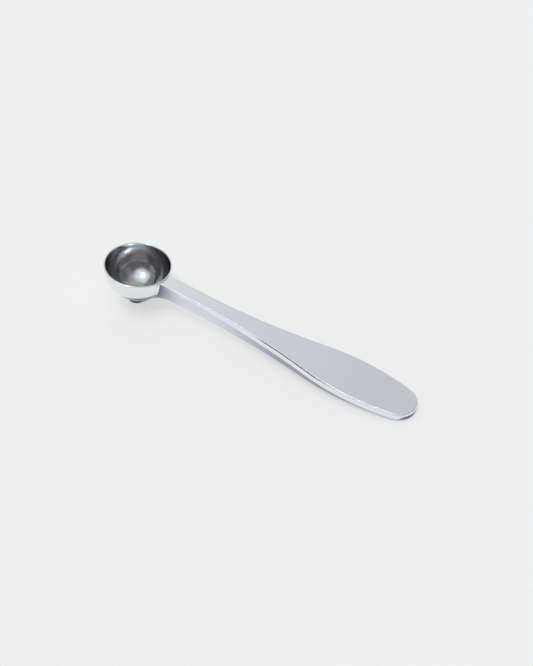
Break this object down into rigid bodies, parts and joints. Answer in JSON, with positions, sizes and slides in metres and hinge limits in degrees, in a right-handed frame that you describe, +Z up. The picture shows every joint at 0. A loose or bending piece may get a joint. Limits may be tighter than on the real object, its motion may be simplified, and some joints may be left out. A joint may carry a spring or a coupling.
{
  "type": "matcha spoon",
  "caption": "Cast metal measuring spoon for matcha powder: a round, deep bowl on a small foot and a handle that widens into a thin paddle.",
  "frame": {"origin": "middle of the bounding box at table height, with the spoon lying on the edge of its foot and under the tip of its handle", "axes": "+X runs from the bowl towards the tip of the handle, +Z is up and +Y is to the left of someone who looks along +X; the spoon is the same on both sides of Y = 0"},
  "size_m": [0.1358, 0.0266, 0.0195],
  "materials": {
    "polished_steel": "polished"
  },
  "bodies": {
    "root": {"spoon": "polished_steel"}
  },
  "joints": []
}
